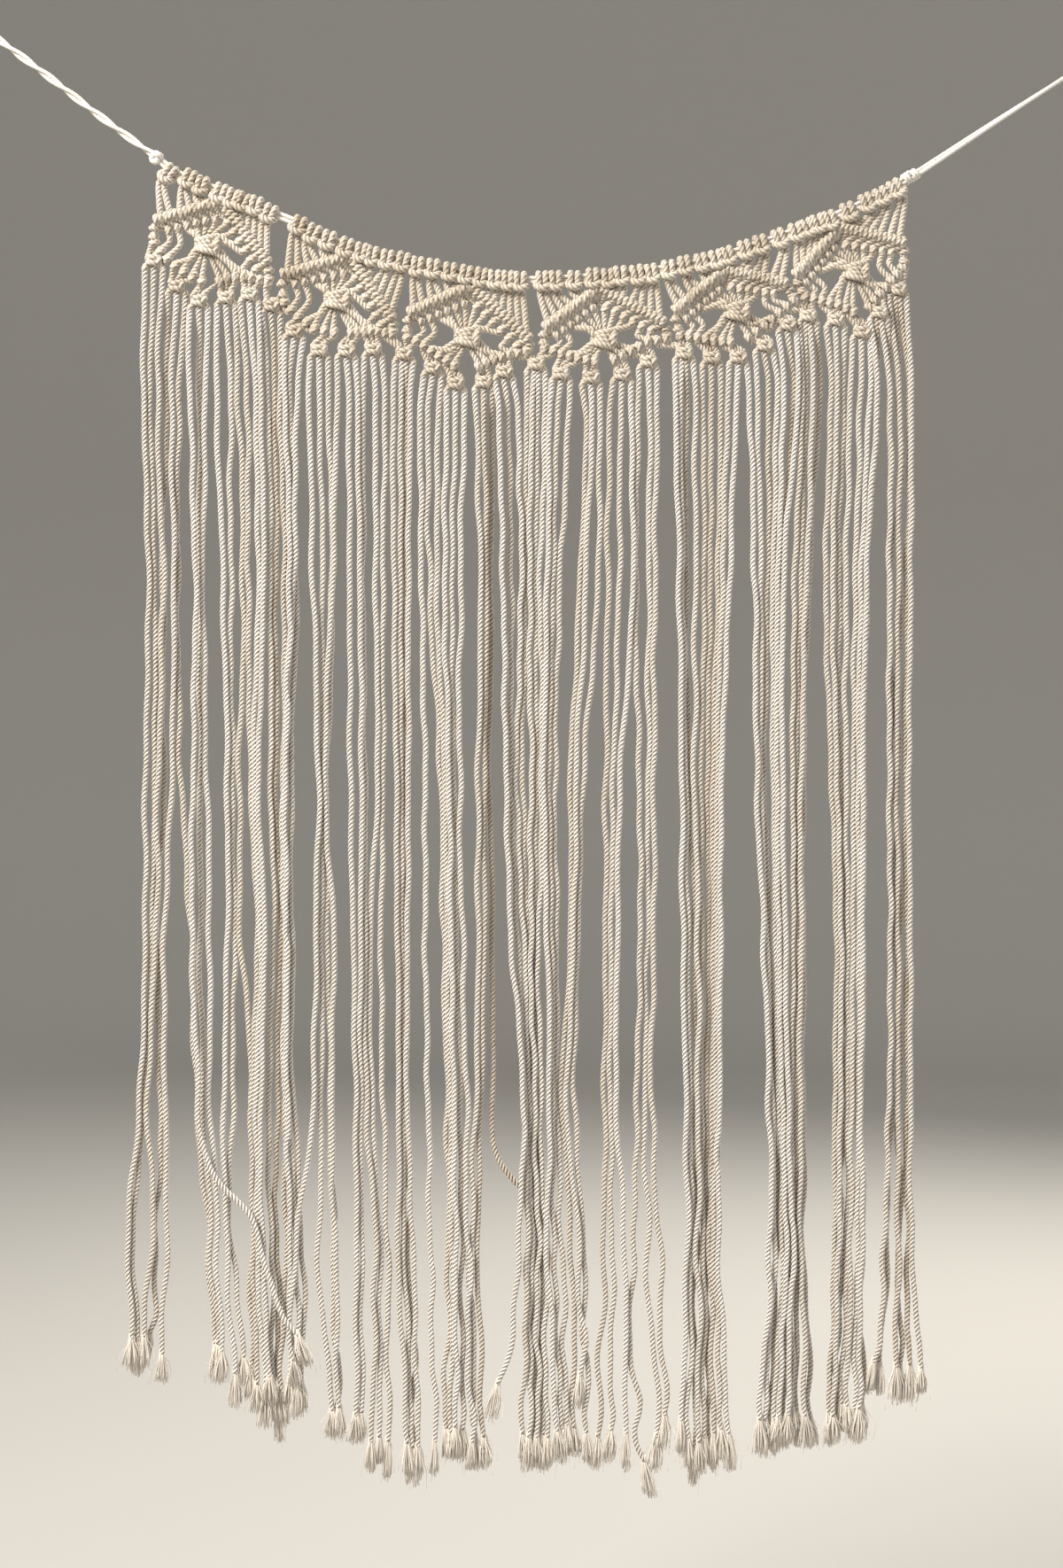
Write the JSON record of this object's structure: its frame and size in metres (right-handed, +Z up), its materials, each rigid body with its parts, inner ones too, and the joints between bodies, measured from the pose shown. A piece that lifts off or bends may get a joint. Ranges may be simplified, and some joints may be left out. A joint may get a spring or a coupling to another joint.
{
  "type": "macrame wall hanging",
  "caption": "Wide macrame hanging: a doubled rope carries a row of knotted pointed motifs, with a long fringe of loose cords below.",
  "frame": {"origin": "on the hanging rope's middle line at the low point of its sag, the middle of the knotted band's top edge", "axes": "+X to the right as seen from the room, +Y towards the wall, +Z up along the hanging cords"},
  "size_m": [0.9877, 0.015, 1.2496],
  "materials": {
    "cotton_cord": "natural undyed three-strand cotton cord, matt",
    "hanging_rope": "natural undyed smooth cotton rope, matt"
  },
  "bodies": {
    "root": {"hanging_rope": "hanging_rope", "motif_1": "cotton_cord", "motif_2": "cotton_cord", "motif_3": "cotton_cord", "motif_4": "cotton_cord", "motif_5": "cotton_cord", "motif_6": "cotton_cord", "fringe": "cotton_cord"}
  },
  "joints": []
}
